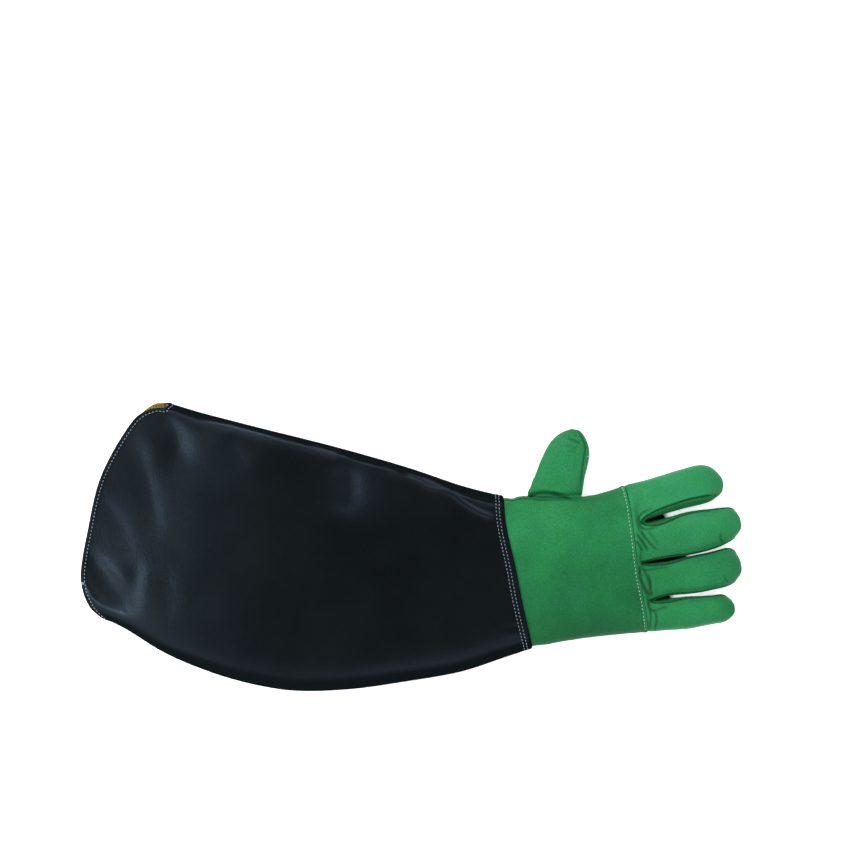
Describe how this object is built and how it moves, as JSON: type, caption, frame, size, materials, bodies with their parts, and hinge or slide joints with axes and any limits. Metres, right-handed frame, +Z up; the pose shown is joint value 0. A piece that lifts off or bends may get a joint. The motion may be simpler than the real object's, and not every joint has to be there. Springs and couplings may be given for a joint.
{
  "type": "animal handling glove",
  "caption": "Right-hand animal handling glove: green leather hand with separate fingers and thumb, sewn to a long black coated sleeve that is open at the mouth.",
  "frame": {"origin": "under the middle of the glove's bounding box, on the surface that it lies on", "axes": "+X from the sleeve's mouth to the fingertips, +Y to the thumb's side, +Z up through the back of the hand"},
  "size_m": [0.6002, 0.2624, 0.0385],
  "materials": {
    "coated_cloth": "black coated cloth with a fine grain and a soft sheen",
    "lining_cloth": "matt yellow cloth",
    "leather": "smooth green grain leather, soft matt",
    "brass": "bright plated brass"
  },
  "bodies": {
    "root": {"sleeve": "coated_cloth", "sleeve_lining": "lining_cloth", "hand_back": "leather", "hand_palm": "leather", "finger_backs": "leather", "finger_fronts": "leather", "fourchette_index_middle": "leather", "fourchette_middle_ring": "leather", "fourchette_ring_little": "leather", "thumb": "leather", "eyelet": "brass", "eyelet_washer": "brass"}
  },
  "joints": []
}
